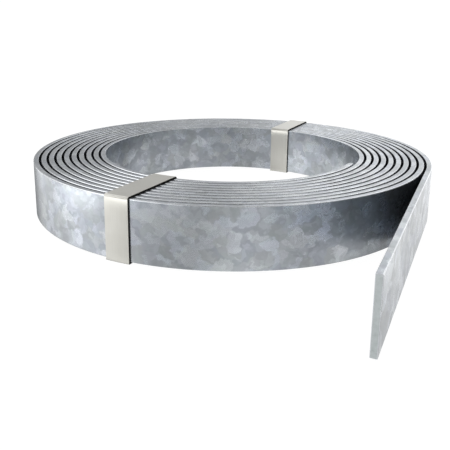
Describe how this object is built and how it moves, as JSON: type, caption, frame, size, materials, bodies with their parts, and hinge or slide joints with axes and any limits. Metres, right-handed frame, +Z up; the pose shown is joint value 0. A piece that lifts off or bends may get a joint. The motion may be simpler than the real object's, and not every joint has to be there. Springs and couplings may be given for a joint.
{
  "type": "steel strip coil",
  "caption": "Galvanised flat steel strip wound on edge into an open coil lying flat, with a straight free tail and flat strapping bands round the turns.",
  "frame": {"origin": "on the floor, below the middle of the whole part's box; the coil's own upright axis is 1.03 mm to -X and 33.20 mm to +Y of it", "axes": "+Z up along the coil's axis; the tail runs off the +X side of the coil and ends towards -Y"},
  "size_m": [0.2322, 0.2986, 0.0318],
  "materials": {
    "galvanised_steel": "satin",
    "strapping": "satin"
  },
  "bodies": {
    "root": {"steel_strip": "galvanised_steel", "strap_front": "strapping", "strap_back": "strapping"}
  },
  "joints": []
}
